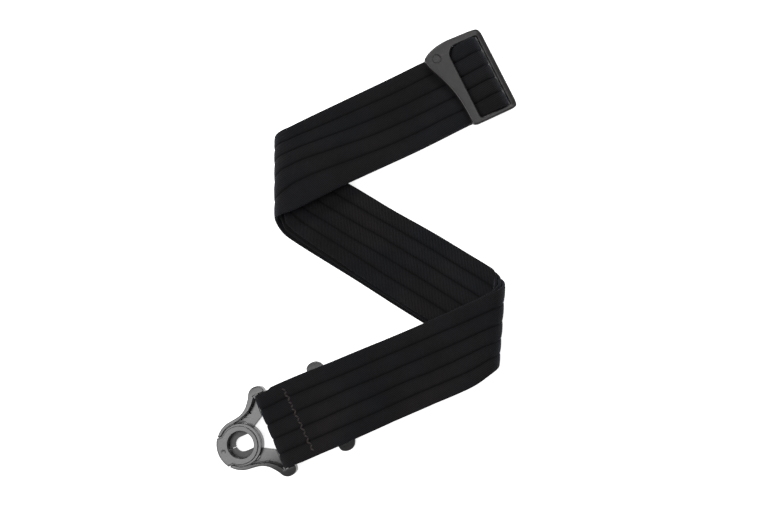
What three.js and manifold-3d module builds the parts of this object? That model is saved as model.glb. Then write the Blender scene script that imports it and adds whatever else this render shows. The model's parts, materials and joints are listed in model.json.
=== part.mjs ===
// Guitar strap: one long band of ribbed 2-inch webbing, folded in a Z for storage, with a locking
// strap-button end at each end and a tri-glide slider that sets the length.
// Millimetres, +Z up. Three layers of the band lie in each leg of the Z.
import * as THREE from 'three';
import Module from 'manifold-3d';
import { mergeVertices } from 'three/addons/utils/BufferGeometryUtils.js';

const wasm = await Module();
wasm.setup();

// driving dimensions
const bandWidth = 50.8;
const bandThickness = 2.4;
const layerPitch = 2.7;            // one thickness and the air between two layers
const gap = 0.3;                   // running gap between neighbouring pieces

const legOneAngle = 23.3;          // degrees from +X
const rightCreaseAngle = 85.5;
const leftCreaseAngle = 87;
const rightFoldPoint = [80.8, -50.8];
const leftFoldPoint = [-52.8, 47.1];
const foldAxisHeight = 8.5;
const outerFoldRadius = 7.3;       // centre of the outermost layer

const lockBarPlace = [-59.3, -116.6];
const secondLockDistance = 36;     // between the two lock bars, along the first leg
const sliderAt = 507.6;            // band from the first lock bar to the slider's centre bar

const barHeightA = 12.1;
const lockTiltA = 9.9;             // degrees, head end down on the floor
const barHeightB = 5;
const barRadius = 2.2;
const sleeveRadius = barRadius + gap + bandThickness / 2;
const sleeveNarrowing = 1.6;       // the band is drawn in at each side where it rounds the first bar

const sliderBarHeight = 7.2;
const sliderBarRadius = 1.8;
const sliderTilt = 12;             // degrees, wide bar raised
const innerLoopRadius = 3.3;
const outerLoopRadius = innerLoopRadius + layerPitch;

const tailLength = 20;
const stitchDistance = 17;
const sliderTailLength = 42;
const sliderStitchDistance = 38;
const stitchHalf = 22;             // each stitch row's reach from the band's centre line

const radians = THREE.MathUtils.degToRad;
const halfWidth = bandWidth / 2;
const halfThickness = bandThickness / 2;

// materials
const plain = (color, roughness, metalness = 0) =>
  new THREE.MeshStandardMaterial({ color, roughness, metalness });
const webbingBlack = () => plain(0x17181b, 0.9);
const threadBrown = () => plain(0x3a2222, 0.8);
const mouldedGrey = () => plain(0x55535a, 0.45);
const mouldedDark = () => plain(0x3b3739, 0.5);
const springSteel = () => plain(0x9a9da2, 0.3, 1);
const zincScrew = () => plain(0x7e8085, 0.35, 1);

// solids
const strap = new THREE.Group();

function solidOf(geometry) {
  const bare = geometry.clone();
  for (const name of Object.keys(bare.attributes)) {
    if (name !== 'position') bare.deleteAttribute(name);
  }
  const merged = mergeVertices(bare, 1e-4);
  return new wasm.Manifold(new wasm.Mesh({
    numProp: 3,
    vertProperties: new Float32Array(merged.attributes.position.array),
    triVerts: new Uint32Array(merged.index.array),
  }));
}

function geometryOf(solid) {
  const { vertProperties, triVerts } = solid.getMesh();
  const geometry = new THREE.BufferGeometry();
  geometry.setAttribute('position', new THREE.BufferAttribute(vertProperties, 3));
  geometry.setIndex(new THREE.BufferAttribute(triVerts, 1));
  geometry.computeVertexNormals();
  return geometry;
}

function addPiece(parent, name, geometry, material) {
  const mesh = new THREE.Mesh(geometry, material);
  mesh.name = name;
  parent.add(mesh);
  return mesh;
}

function prism(shape, low, high, curveSegments = 12) {
  const depth = high - low;
  const geometry = new THREE.ExtrudeGeometry(shape, { depth, bevelEnabled: false, curveSegments });
  return solidOf(geometry.translate(0, 0, low));
}

function disc(radius, low, high, x = 0, y = 0, sides = 24) {
  const geometry = new THREE.CylinderGeometry(radius, radius, high - low, sides);
  geometry.rotateX(Math.PI / 2);
  return solidOf(geometry.translate(x, y, (low + high) / 2));
}

function block(x0, x1, y0, y1, z0, z1) {
  const geometry = new THREE.BoxGeometry(x1 - x0, y1 - y0, z1 - z0);
  return solidOf(geometry.translate((x0 + x1) / 2, (y0 + y1) / 2, (z0 + z1) / 2));
}

function rodAcross(radius, x, z, y0, y1, sides = 20) {
  const geometry = new THREE.CylinderGeometry(radius, radius, y1 - y0, sides);
  return solidOf(geometry.translate(x, (y0 + y1) / 2, z));
}

// the folded band
// A leg is a flat run of the band: a point on its centre line, the way along and the way across.
const direction = (degrees) => new THREE.Vector2(Math.cos(radians(degrees)), Math.sin(radians(degrees)));

function foldAt(point, creaseAngle, outward) {
  const crease = direction(creaseAngle);
  return {
    point: new THREE.Vector2(...point),
    crease,
    out: new THREE.Vector2(crease.y, -crease.x).multiplyScalar(outward),
  };
}

const creaseLength = Math.PI * outerFoldRadius;

function legAfter(leg, fold) {
  const turn = (vector) => fold.crease.clone().multiplyScalar(vector.dot(fold.crease))
    .addScaledVector(fold.out, -vector.dot(fold.out));
  const offset = leg.origin.clone().sub(fold.point);
  return {
    origin: fold.point.clone().add(turn(offset)).addScaledVector(fold.out, creaseLength),
    along: turn(leg.along),
    across: turn(leg.across),
  };
}

const rightFold = foldAt(rightFoldPoint, rightCreaseAngle, 1);
const leftFold = foldAt(leftFoldPoint, leftCreaseAngle, -1);
const legOne = {
  origin: new THREE.Vector2(...lockBarPlace),
  along: direction(legOneAngle),
  across: direction(legOneAngle + 90),
};
const legTwo = legAfter(legOne, rightFold);
const legThree = legAfter(legTwo, leftFold);

const planPoint = (leg, u, v) =>
  leg.origin.clone().addScaledVector(leg.along, u).addScaledVector(leg.across, v);
// distance along a leg at which the line v meets a fold, so far past the fold's start
const reach = (leg, fold, v, past) =>
  (past - planPoint(leg, 0, v).sub(fold.point).dot(fold.out)) / leg.along.dot(fold.out);

const topHeight = foldAxisHeight + outerFoldRadius;
const rightStart = reach(legOne, rightFold, 0, 0);
const rightEnd = reach(legOne, rightFold, 0, creaseLength);
const leftStart = reach(legTwo, leftFold, 0, 0);
const leftEnd = reach(legTwo, leftFold, 0, creaseLength);

// the inner layers creep sideways in the middle leg: [distance along, sideways]
const creepKeys = [
  [rightStart - 40, 0], [rightStart, 0.8], [rightEnd, 2.6], [rightEnd + 30, 3.6],
  [leftStart, 0.4], [leftEnd, 0.2], [leftEnd + 40, 0],
];
function creepAt(u) {
  if (u <= creepKeys[0][0]) return 0;
  for (let i = 1; i < creepKeys.length; i++) {
    const [u0, a] = creepKeys[i - 1];
    const [u1, b] = creepKeys[i];
    if (u < u1) return a + (b - a) * (u - u0) / (u1 - u0);
  }
  return 0;
}

function widthAt(u) {
  const near = THREE.MathUtils.smoothstep(Math.abs(u), 4, 26);
  return halfWidth - sleeveNarrowing * (1 - near);
}

// A station is the four corners of the band's cross-section, listed round it. The face that is up
// in the first leg is the band's show face; its angle is given in degrees from +u towards +z.
const stations = [];
const corners = [[-1, 1], [1, 1], [1, -1], [-1, -1]];

function layStation(leg, u, z, faceAngle, { skew = 0, creep = 0, half = halfWidth } = {}) {
  const lean = radians(faceAngle);
  stations.push(corners.map(([side, face]) => {
    const off = face * halfThickness;
    const v = side * half;
    const plan = planPoint(leg, u + skew * v + off * Math.cos(lean), v + creep);
    return new THREE.Vector3(plan.x, plan.y, z + off * Math.sin(lean));
  }));
}

// band rounding a fold: turn runs from 0 to 1, depth is measured in from the outermost layer
function layFoldStation(leg, fold, turn, { depth, showOut, creepShare }, rising) {
  const angle = turn * Math.PI;
  const past = turn * creaseLength;
  const creep = creepAt(reach(leg, fold, 0, past)) * creepShare;
  stations.push(corners.map(([side, face]) => {
    const radius = outerFoldRadius - depth + face * showOut * halfThickness;
    const v = side * halfWidth + creep;
    const along = planPoint(leg, reach(leg, fold, v, past), v).sub(fold.point).dot(fold.crease);
    const place = fold.point.clone().addScaledVector(fold.out, radius * Math.sin(angle))
      .addScaledVector(fold.crease, along);
    const lift = radius * Math.cos(angle) * (rising ? -1 : 1);
    return new THREE.Vector3(place.x, place.y, foldAxisHeight + lift);
  }));
}

// the band turning about a bar that lies across it
function roundBar(leg, u, z, radius, from, to, { showOut = 1, half = halfWidth } = {}) {
  const steps = Math.ceil(Math.abs(to - from) / 22.5);
  for (let i = 0; i <= steps; i++) {
    const angle = from + (to - from) * i / steps;
    const spot = radians(angle);
    const face = showOut > 0 ? angle : angle + 180;
    layStation(leg, u + radius * Math.cos(spot), z + radius * Math.sin(spot), face, { half });
  }
}

const foldSteps = 12;
const skewOf = (leg, fold) => -leg.across.dot(fold.out) / leg.along.dot(fold.out);
const skewOne = skewOf(legOne, rightFold);
const skewTwo = skewOf(legTwo, leftFold);
const skewThree = skewOf(legThree, leftFold);

// past the left fold the third leg settles down to the slider
const settleStart = leftEnd + 28;
const settleEnd = sliderAt - 48;

// one layer's whole run between the lock end and the slider end
function layPass(layer, from, to, sink, backwards = false) {
  const high = topHeight - layer.depth;
  const low = foldAxisHeight - outerFoldRadius + layer.depth;
  const run = [];
  const flat = (leg, u, z, up, skew) => run.push(() => layStation(leg, u, z, 90 * up * layer.showOut, {
    skew, creep: creepAt(u) * layer.creepShare, half: layer.depth ? halfWidth : widthAt(u),
  }));
  for (const [part, share] of [[0, 0], [0.15, 0], [0.3, 0.1], [0.55, 0.5], [0.8, 1]]) {
    flat(legOne, from + (rightStart - from) * part, high, 1, skewOne * share);
  }
  for (let i = 0; i <= foldSteps; i++) {
    run.push(() => layFoldStation(legOne, rightFold, i / foldSteps, layer, false));
  }
  for (const part of [0.15, 0.3, 0.5, 0.7, 0.85]) {
    flat(legTwo, rightEnd + (leftStart - rightEnd) * part, low, -1, skewTwo);
  }
  for (let i = 0; i <= foldSteps; i++) {
    run.push(() => layFoldStation(legTwo, leftFold, i / foldSteps, layer, true));
  }
  for (const part of [-0.2, 0, 0.17, 0.33, 0.5, 0.67, 0.83, 1]) {
    const u = settleStart + (settleEnd - settleStart) * part;
    const z = high - sink * THREE.MathUtils.smoothstep(u, settleStart, settleEnd);
    flat(legThree, u, z, 1, skewThree * Math.max(0, 1 - (part + 0.2) / 0.53));
  }
  flat(legThree, to, high - sink, 1, 0);
  if (backwards) run.reverse();
  run.forEach((lay) => lay());
}

const outerLayer = { depth: 0, showOut: 1, creepShare: 0 };
const middleLayer = { depth: layerPitch, showOut: 1, creepShare: 0.5 };
const innerLayer = { depth: 2 * layerPitch, showOut: -1, creepShare: 1 };
const middleHeight = topHeight - middleLayer.depth;
const innerHeight = topHeight - innerLayer.depth;

// tail beneath the first lock's sleeve, then round its bar
const tailKink = 9.6;
const tailRise = 28.9;             // degrees, from under the bar up to the tail
const sleeveHalf = widthAt(0);
layStation(legOne, tailLength, middleHeight, -90, { half: widthAt(tailLength) });
layStation(legOne, tailKink, middleHeight, tailRise / 2 - 90, { half: widthAt(tailKink) });
roundBar(legOne, 0, barHeightA, sleeveRadius, tailRise - 90, -270, { half: sleeveHalf });

// outermost layer to the slider, then over its bar
const outerFrom = 6;               // from the first bar to where the outer layer lies flat
const outerTo = 36;                // before the centre bar
const innerTo = 20;                // before the centre bar, for the two layers beneath
const restHeight = 10;             // outermost layer over the sewn tail
const underBar = 9.3;              // outermost layer under the slider's wide bar
const outerClimb = 17.9;           // degrees, up over the loop on the centre bar
const climbStart = 13;             // before the centre bar
layPass(outerLayer, outerFrom, sliderAt - outerTo, topHeight - restHeight);
layStation(legThree, sliderAt - outerTo + 6, underBar, 90);
layStation(legThree, sliderAt - climbStart, underBar, 90 + outerClimb / 2);
roundBar(legThree, sliderAt, sliderBarHeight, outerLoopRadius, 90 + outerClimb, -90);

// innermost layer back to the second lock, down through its window and round its bar
const windowTurn = 3.4;
const windowAt = secondLockDistance + sleeveRadius;
const barRise = 35.5;              // degrees, from the bar up to the middle layer
const innerSink = innerHeight - (sliderBarHeight - outerLoopRadius);
layPass(innerLayer, windowAt + windowTurn + 4, sliderAt - innerTo, innerSink, true);
roundBar(legOne, windowAt + windowTurn, innerHeight - windowTurn, windowTurn, 90, 180, { showOut: -1 });
roundBar(legOne, secondLockDistance, barHeightB, sleeveRadius, 0, barRise - 270);

// middle layer to the slider, round the centre bar from beneath, and the sewn tail
const middleJoin = 41;
const tailDrop = 17.4;             // degrees, from the loop down to the sewn tail
const sewnHeight = sliderBarHeight - innerLoopRadius + layerPitch;
const middleSink = middleHeight - (sliderBarHeight - innerLoopRadius);
layStation(legOne, middleJoin, middleHeight, 90 + barRise / 2);
layPass(middleLayer, middleJoin + 5, sliderAt - innerTo, middleSink);
roundBar(legThree, sliderAt, sliderBarHeight, innerLoopRadius, -90, 90 + tailDrop, { showOut: -1 });
layStation(legThree, sliderAt - climbStart, sewnHeight, tailDrop / 2 - 90);
layStation(legThree, sliderAt - sliderTailLength, sewnHeight, -90);

function bandGeometry() {
  const positions = stations.flat().flatMap((point) => point.toArray());
  const last = 4 * (stations.length - 1);
  const index = [0, 1, 2, 0, 2, 3, last, last + 2, last + 1, last, last + 3, last + 2];
  for (let i = 0; i < last; i += 4) {
    for (let k = 0; k < 4; k++) {
      const a = i + k;
      const b = i + (k + 1) % 4;
      index.push(a, a + 4, b, b, a + 4, b + 4);
    }
  }
  const geometry = new THREE.BufferGeometry();
  geometry.setAttribute('position', new THREE.Float32BufferAttribute(positions, 3));
  geometry.setIndex(index);
  geometry.computeVertexNormals();
  return geometry;
}

addPiece(strap, 'webbing', bandGeometry(), webbingBlack());

// stitching
// a zigzag thread across the band, in a leg's own axes: x along, y across
function stitchRow(name, leg, u, low, half) {
  const pitch = 2.4;
  const swing = 0.9;
  const threadWidth = 0.7;
  const threadHeight = 0.5;
  const count = Math.floor(2 * half / pitch);
  const edge = (shift) => Array.from({ length: count + 1 }, (_, i) =>
    new THREE.Vector2(swing * (i % 2 ? 1 : -1) + shift, pitch * (i - count / 2)));
  const outline = [...edge(threadWidth / 2), ...edge(-threadWidth / 2).reverse()];
  const row = new THREE.Group();
  const place = planPoint(leg, u, 0);
  row.position.set(place.x, place.y, 0);
  row.rotation.z = leg.along.angle();
  strap.add(row);
  const solid = prism(new THREE.Shape(outline), low, low + threadHeight);
  addPiece(row, name, geometryOf(solid), threadBrown());
}

const clearOfBand = halfThickness + 0.1;
stitchRow('stitch_row_lock', legOne, stitchDistance, topHeight + clearOfBand, stitchHalf);
stitchRow('stitch_row_slider', legThree, sliderAt - sliderStitchDistance, sewnHeight + clearOfBand,
  stitchHalf);

// the locking end
// Its own axes: origin on the bore's axis at the back face, +x towards the bar, +z out of the cap.
const headRadius = 16.8;
const windowSideRadius = 15;
const boreRadius = 8.8;
const rimTop = 7.6;
const deckTop = 6;
const deckBottom = 4.6;
const webTop = 4;
const barAcross = 25;              // bore axis to bar axis
const barLift = 5;
const slotStart = 19.8;
const slotHalf = 26.2;
const releaseTravel = 2.7;
const slideRadius = 13.9;
const slideTop = 8.8;
const tabHalf = 10;
const plateThickness = 1.4;
const plateRadius = 13.4;
const entryRadius = 8.2;
const jawRadius = 12;
const jawHalf = 8;
const jawOpening = 4.9;
const studRadius = 0.8;
const studDistance = 10.4;
const studTravel = 3.8;            // how far out a stud's slot runs
const barOuterEdge = 27.9;         // where the frame ends beyond the bar
const slotInnerCorner = 12;
const springRadius = 1.15;
const springWire = 0.25;
const springTurns = 5;
const springEnds = [-14.4, -9.7];
const springHeight = 4.3;
const pocketEnds = [-15.9, -9.4];
const pocketHalf = 1.7;
const pocketFloor = 2.6;
const lugEnds = [-15.6, -14.7];
const lugHalf = 1.2;
const lugFoot = 3.4;
const screwHoleRadius = 1.1;
const screwSeat = { radius: 1.9, depth: 0.8 };
const capDimple = { x: -12.7, radius: 2.25 };
const dimpleDepth = 0.5;
const screwSpots = [[10.8, 5.2], [-10.8, 5.2], [-10.8, -5.2], [10.8, -5.2]];
const above = 20;                  // well past any surface of the lock

const armOuter = [[-0.7, 16.9], [6.2, 17.8], [11.3, 20.5], [15.6, 25.6], [18.1, 30]];
const knob = [[20.4, 31.2], [24.4, 31.1], [27.2, 29.4], [28.2, 26.2]];
const seam = [[0.6, 14.1], [5.3, 14.8], [12.3, 17.2], [16.8, 20.6], [20.8, 25.4]];
const vectors = (points) => points.map(([x, y]) => new THREE.Vector2(x, y));
const mirrored = (points) => points.map(([x, y]) => [x, -y]).reverse();
const smooth = (points, count) => new THREE.SplineCurve(vectors(points)).getPoints(count)
  .map(({ x, y }) => [x, y]);

function arc(radius, from, to, count) {
  return Array.from({ length: count + 1 }, (_, i) => {
    const angle = radians(from + (to - from) * i / count);
    return [radius * Math.cos(angle), radius * Math.sin(angle)];
  });
}

function lockOutline() {
  const windowCorner = 33;         // degrees round the head
  const upper = [
    [slotStart, slotInnerCorner], [slotStart, slotHalf], [barOuterEdge, slotHalf],
    ...knob.slice(0, 3).reverse(), ...smooth(armOuter, 10).reverse(),
  ];
  return new THREE.Shape(vectors([
    ...arc(windowSideRadius, -windowCorner, windowCorner, 10), ...upper,
    ...arc(headRadius, 98, 262, 20), ...mirrored(upper),
  ]));
}

function insideSeam() {
  const half = [[-1, 14.2], ...smooth(seam, 8)];
  return new THREE.Shape(vectors([...half, ...mirrored(half)]));
}

const union = (solids) => solids.reduce((whole, solid) => whole.add(solid));

function lockFrame() {
  const webRecess = prism(insideSeam(), webTop, above).subtract(disc(windowSideRadius, 0, above, 0, 0, 40));
  const slideRecess = union([
    prism(insideSeam(), deckTop, above),
    disc(slideRadius + gap, deckTop, above, 0, 0, 40),
    block(-18, 0, -tabHalf - gap, tabHalf + gap, deckTop, above),
  ]);
  const jawRoom = union([-releaseTravel, 0, releaseTravel].map((y) =>
    disc(jawRadius + gap, plateThickness, deckBottom, 0, y, 32)))
    .intersect(block(-jawHalf - gap, jawHalf + gap, -above, above, 0, above));
  const slotEnds = [studDistance - studRadius - 0.3, studDistance + studTravel];
  const studSlot = (side) => block(-studRadius - gap, studRadius + gap,
    ...(side > 0 ? slotEnds : slotEnds.map((end) => -end).reverse()), webTop, deckTop + 1);
  const hollows = [
    webRecess, slideRecess, jawRoom, studSlot(1), studSlot(-1),
    disc(boreRadius, -1, above, 0, 0, 32),
    disc(plateRadius + gap, -1, plateThickness + gap, 0, 0, 40),
    block(...pocketEnds, -pocketHalf, pocketHalf, pocketFloor, deckTop + 1),
    ...screwSpots.map(([x, y]) => disc(screwHoleRadius, 1, 4.7, x, y, 12)),
  ];
  const body = hollows.reduce((left, hollow) => left.subtract(hollow), prism(lockOutline(), 0, rimTop));
  return body.add(rodAcross(barRadius, barAcross, barLift, -slotHalf - 1, slotHalf + 1));
}

function backPlate() {
  const holes = screwSpots.flatMap(([x, y]) =>
    [disc(screwSeat.radius, -1, screwSeat.depth, x, y, 16), disc(screwHoleRadius, 0, above, x, y, 12)]);
  const blank = disc(plateRadius, 0, plateThickness, 0, 0, 40);
  const entry = disc(entryRadius, -1, above, 0, 0, 32);
  return [entry, ...holes].reduce((left, hole) => left.subtract(hole), blank);
}

function screw(x, y) {
  const headRim = screwSeat.radius - gap;
  const shank = screwHoleRadius - gap;
  return disc(headRim, 0.05, 0.5, x, y, 16).add(disc(shank, 0.4, 4.4, x, y, 12));
}

function releaseSlide() {
  const low = deckTop + gap;
  const tab = disc(headRadius, low, slideTop, 0, 0, 48)
    .intersect(block(-17, 0, -tabHalf, tabHalf, 0, above));
  const lug = block(...lugEnds, -lugHalf, lugHalf, lugFoot, low + 0.2);
  const blank = union([disc(slideRadius, low, slideTop, 0, 0, 40), tab, lug]);
  const camSlot = (side) => {
    const length = 7;
    const slot = new THREE.BoxGeometry(length, 2 * (studRadius + gap), 1.5);
    slot.translate(length / 2 - studRadius - gap, 0, 0).rotateZ(radians(135 * side));
    return solidOf(slot.translate(0, side * studDistance, low + 0.65));
  };
  const dimple = disc(capDimple.radius, slideTop - dimpleDepth, above, capDimple.x, 0, 20);
  return [disc(boreRadius, 0, above, 0, 0, 32), camSlot(1), camSlot(-1), dimple]
    .reduce((left, hollow) => left.subtract(hollow), blank);
}

function jaw(side) {
  const low = plateThickness + gap;
  const high = deckBottom - gap;
  const plate = disc(jawRadius, low, high, 0, 0, 32)
    .intersect(side > 0 ? block(-jawHalf, jawHalf, gap / 2, above, 0, above)
      : block(-jawHalf, jawHalf, -above, -gap / 2, 0, above))
    .subtract(disc(jawOpening, 0, above, 0, 0, 24))
    .subtract(block(0, above, -jawOpening, jawOpening, 0, above));
  return plate.add(disc(studRadius, high - 0.2, 7.4, 0, side * studDistance, 12));
}

class Helix extends THREE.Curve {
  getPoint(t, target = new THREE.Vector3()) {
    const angle = 2 * Math.PI * springTurns * t;
    const x = springEnds[0] + springWire + (springEnds[1] - springEnds[0] - 2 * springWire) * t;
    return target.set(x, springRadius * Math.cos(angle), springHeight + springRadius * Math.sin(angle));
  }
}

function springGeometry() {
  const section = new THREE.Shape(vectors(arc(springWire, 0, 300, 5)));
  return new THREE.ExtrudeGeometry(section, { steps: 10 * springTurns, extrudePath: new Helix() });
}

function addLock(name, leg, u, height, yaw, tilt) {
  const swing = new THREE.Group();
  const place = planPoint(leg, u, 0);
  swing.position.set(place.x, place.y, height);
  swing.rotation.set(0, tilt, yaw, 'ZYX');
  const lock = new THREE.Group();
  lock.position.set(-barAcross, 0, -barLift);
  swing.add(lock);
  strap.add(swing);
  addPiece(lock, `${name}_frame`, geometryOf(lockFrame()), mouldedGrey());
  addPiece(lock, `${name}_back_plate`, geometryOf(backPlate()), mouldedDark());
  addPiece(lock, `${name}_release_slide`, geometryOf(releaseSlide()), mouldedGrey());
  addPiece(lock, `${name}_jaw_left`, geometryOf(jaw(1)), mouldedDark());
  addPiece(lock, `${name}_jaw_right`, geometryOf(jaw(-1)), mouldedDark());
  addPiece(lock, `${name}_return_spring`, springGeometry(), springSteel());
  screwSpots.forEach(([x, y], i) => {
    addPiece(lock, `${name}_screw_${i + 1}`, geometryOf(screw(x, y)), zincScrew());
  });
}

const legYaw = radians(legOneAngle);
addLock('lock_a', legOne, 0, barHeightA, legYaw, -radians(lockTiltA));
addLock('lock_b', legOne, secondLockDistance, barHeightB, legYaw + Math.PI, 0);

// the slider
// Its own axes: origin on the centre bar, +x towards the narrow bar, +z out of the face.
const sliderLow = 0.8;
const sliderHigh = 4.2;
const railInner = [-25.9, 26.6];
const postHalf = 2;                // the centre bar's end posts, along the slider
const lipEnds = [8.15, 8.95];      // the narrow bar's lip beside the loop
const lipFoot = -2.2;
const sliderDimple = { x: -24.2, y: 22.1, radius: 3.5 };
const sliderOutline = [
  [7.4, -28.9], [10.2, -28], [11.9, -25], [12, 26], [10.4, 29.4], [7, 30.6], [-14, 31.4],
  [-22, 30.2], [-28.6, 27.8], [-32.4, 24.8], [-31.4, 19], [-28.6, 12], [-25, 3], [-22.6, -6],
  [-21.8, -16], [-21.6, -24], [-20, -27.6], [-17, -28.9],
];
const sliderWindow = [
  [-14.8, railInner[0] + 1.5], [-13.4, railInner[0]], [7, railInner[0]], [8.1, railInner[0] + 1.4],
  [8.1, railInner[1] - 1.4], [7, railInner[1]], [-12.6, railInner[1]], [-14.8, railInner[1] - 3],
];

function sliderFrame() {
  const posts = railInner.map((y) => block(-postHalf, postHalf, Math.min(y, y + Math.sign(y) * 2),
    Math.max(y, y + Math.sign(y) * 2), -sliderBarRadius, sliderLow + 1));
  const lip = block(...lipEnds, railInner[0] - 1, railInner[1] + 1, lipFoot, sliderLow + 1);
  const plate = prism(new THREE.Shape(vectors(sliderOutline)), sliderLow, sliderHigh)
    .subtract(prism(new THREE.Shape(vectors(sliderWindow)), -1, above))
    .subtract(disc(sliderDimple.radius, sliderHigh - dimpleDepth, above, sliderDimple.x, sliderDimple.y, 24));
  const bar = rodAcross(sliderBarRadius, 0, 0, railInner[0] - 1, railInner[1] + 1);
  return union([plate, lip, bar, ...posts]);
}

const slider = new THREE.Group();
const sliderPlace = planPoint(legThree, sliderAt, 0);
slider.position.set(sliderPlace.x, sliderPlace.y, sliderBarHeight);
slider.rotation.set(0, radians(sliderTilt), legThree.along.angle(), 'ZYX');
strap.add(slider);
addPiece(slider, 'slider_frame', geometryOf(sliderFrame()), mouldedDark());

// the origin: bottom centre of the whole
strap.updateMatrixWorld(true);
const bounds = new THREE.Box3().setFromObject(strap, true);
const centre = bounds.getCenter(new THREE.Vector3());
strap.position.set(-centre.x, -centre.y, -bounds.min.z);

export default strap;
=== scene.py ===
import json
import math
import bmesh
import bpy
from mathutils import Euler, Matrix, Vector, noise


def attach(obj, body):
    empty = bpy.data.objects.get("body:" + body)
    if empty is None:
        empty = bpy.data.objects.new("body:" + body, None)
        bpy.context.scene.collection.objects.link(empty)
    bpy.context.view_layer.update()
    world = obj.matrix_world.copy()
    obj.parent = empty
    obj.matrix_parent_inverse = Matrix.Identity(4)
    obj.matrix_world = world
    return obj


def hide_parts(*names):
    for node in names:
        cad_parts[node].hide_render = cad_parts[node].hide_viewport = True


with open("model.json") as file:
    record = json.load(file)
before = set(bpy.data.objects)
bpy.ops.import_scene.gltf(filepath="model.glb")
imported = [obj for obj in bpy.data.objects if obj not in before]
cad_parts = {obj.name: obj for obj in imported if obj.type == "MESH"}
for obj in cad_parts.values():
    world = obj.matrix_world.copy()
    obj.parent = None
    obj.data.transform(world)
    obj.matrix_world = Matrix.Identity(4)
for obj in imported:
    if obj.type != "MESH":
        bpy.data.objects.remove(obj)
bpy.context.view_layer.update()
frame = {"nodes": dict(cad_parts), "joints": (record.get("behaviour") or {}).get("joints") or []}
joints = {joint["name"]: joint for joint in frame["joints"]}
mm = 0.001


def collectionLink(piece):
    bpy.context.collection.objects.link(piece)
    return piece


# materials
def nodeMaterial(name):
    material = bpy.data.materials.new(name)
    material.use_nodes = True
    tree = material.node_tree
    shader = tree.nodes["Principled BSDF"]
    return material, tree, shader


def addNode(tree, kind, **settings):
    node = tree.nodes.new(kind)
    for key, value in settings.items():
        if key in node.inputs:
            node.inputs[key].default_value = value
        else:
            setattr(node, key, value)
    return node


def mathNode(tree, operation, first, second=None):
    node = addNode(tree, "ShaderNodeMath", operation=operation)
    for socket, value in zip(node.inputs, (first, second)):
        if isinstance(value, (int, float)):
            socket.default_value = value
        elif value is not None:
            tree.links.new(value, socket)
    return node.outputs[0]


def noiseOf(tree, vector, scale, detail=3.0, roughness=0.5):
    node = addNode(tree, "ShaderNodeTexNoise", Scale=scale, Detail=detail, Roughness=roughness)
    tree.links.new(vector, node.inputs["Vector"])
    return node.outputs["Fac"]


def rampOf(tree, value, stops):
    ramp = addNode(tree, "ShaderNodeValToRGB")
    elements = ramp.color_ramp.elements
    while len(elements) < len(stops):
        elements.new(0.5)
    for element, (place, colour) in zip(elements, stops):
        element.position = place
        element.color = (*colour, 1)
    tree.links.new(value, ramp.inputs["Fac"])
    return ramp.outputs["Color"]


def bumpOf(tree, height, strength, distance, below=None):
    bump = addNode(tree, "ShaderNodeBump", Strength=strength, Distance=distance)
    tree.links.new(height, bump.inputs["Height"])
    if below is not None:
        tree.links.new(below, bump.inputs["Normal"])
    return bump.outputs["Normal"]


def rangeOf(tree, value, low, high):
    node = addNode(tree, "ShaderNodeMapRange")
    node.inputs["To Min"].default_value = low
    node.inputs["To Max"].default_value = high
    tree.links.new(value, node.inputs["Value"])
    return node.outputs["Result"]


webbingLook = {
    "yarn": (0.0012, 0.0012, 0.0013),
    "yarnLight": (0.0172, 0.0172, 0.0180),
    "coolCast": (0.93, 0.97, 1.12),
    "warmCast": (1.12, 1.00, 0.94),
    # colour of the painted shade laid down in the grooves between the ribs
    "paintedGrooveShade": (0.0012, 0.0011, 0.0012),
    "twillPitch": 1.12,        # mm between the slanting ridges
    "twillSlant": 0.55,        # along per across
    "yarnPitch": 0.42,
    "roughness": (0.78, 0.95),
    "specular": 0.09,
    "sheen": 0.09,
}


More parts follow.
